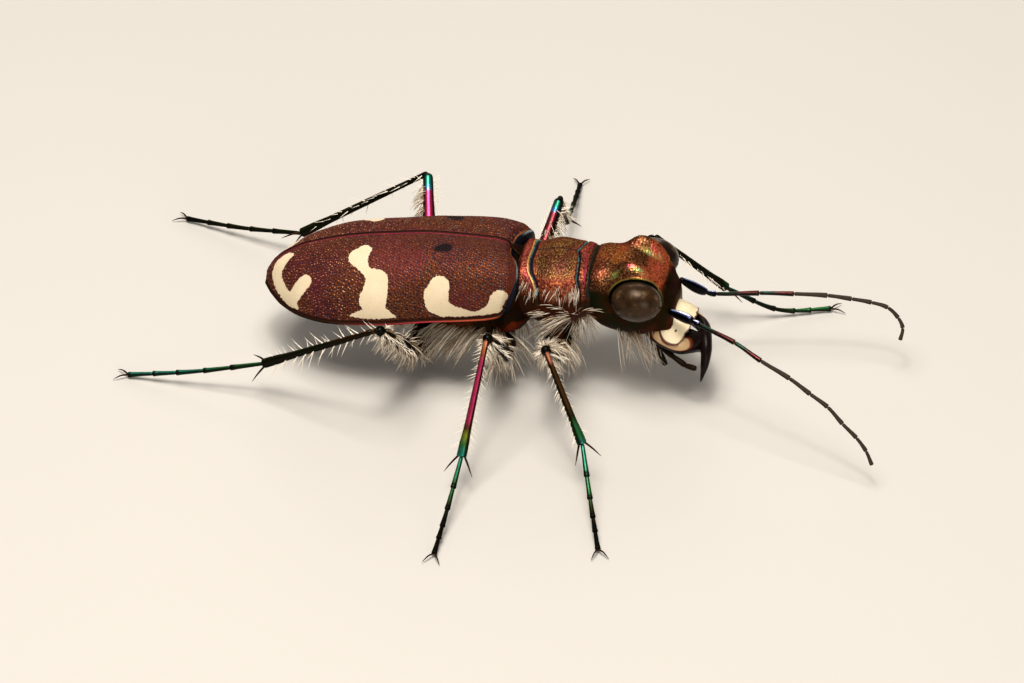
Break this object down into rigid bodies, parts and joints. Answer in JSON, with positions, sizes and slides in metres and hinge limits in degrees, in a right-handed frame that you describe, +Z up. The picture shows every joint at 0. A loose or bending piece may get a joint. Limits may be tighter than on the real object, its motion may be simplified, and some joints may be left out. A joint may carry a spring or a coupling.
{
  "type": "tiger beetle",
  "caption": "Life-size still tiger beetle standing on its legs, with ivory bands on the wing cases, big eyes and sickle jaws",
  "frame": {"origin": "middle of the footprint, at the level of the feet", "axes": "+X towards the head, +Y towards the beetle's left, +Z up"},
  "size_m": [0.0284, 0.0236, 0.0056],
  "materials": {
    "wing_case": "dark red-brown chitin with fine granules, bronze and pink glints, ivory bands and a coppery rim",
    "body_shell": "coppery bronze chitin with blue-green grooves, granular",
    "eye": "grey-brown faceted eye, softly glossy",
    "lip": "smooth ivory chitin with an orange base and a dark pit",
    "jaw": "glossy black chitin, with an ivory plate at its base",
    "palp": "dark glossy chitin with pale bristles",
    "feeler": "violet-black and green metallic base segments, matt grey-brown outer ones",
    "leg": "metallic chitin running from turquoise and blue to pink and green, with dark joints",
    "bristle": "silky white hairs and bristles"
  },
  "bodies": {
    "root": {"elytron_right": "wing_case", "elytron_left": "wing_case", "abdomen": "body_shell", "pterothorax": "body_shell", "prothorax": "body_shell", "head": "body_shell", "eye_right": "eye", "eye_left": "eye", "labrum": "lip", "mandible_right": "jaw", "mandible_left": "jaw", "maxillary_palp_right": "palp", "labial_palp_right": "palp", "maxillary_palp_left": "palp", "labial_palp_left": "palp", "antenna_right_scape": "feeler", "antenna_right_inner": "feeler", "antenna_right_outer": "feeler", "antenna_left_scape": "feeler", "antenna_left_inner": "feeler", "antenna_left_outer": "feeler", "front_right_coxa": "body_shell", "front_right_femur": "leg", "front_right_tibia": "leg", "front_right_tarsus": "leg", "middle_right_coxa": "body_shell", "middle_right_femur": "leg", "middle_right_tibia": "leg", "middle_right_tarsus": "leg", "hind_right_coxa": "body_shell", "hind_right_femur": "leg", "hind_right_tibia": "leg", "hind_right_tarsus": "leg", "front_left_coxa": "body_shell", "front_left_femur": "leg", "front_left_tibia": "leg", "front_left_tarsus": "leg", "middle_left_coxa": "body_shell", "middle_left_femur": "leg", "middle_left_tibia": "leg", "middle_left_tarsus": "leg", "hind_left_coxa": "body_shell", "hind_left_femur": "leg", "hind_left_tibia": "leg", "hind_left_tarsus": "leg"}
  },
  "joints": []
}
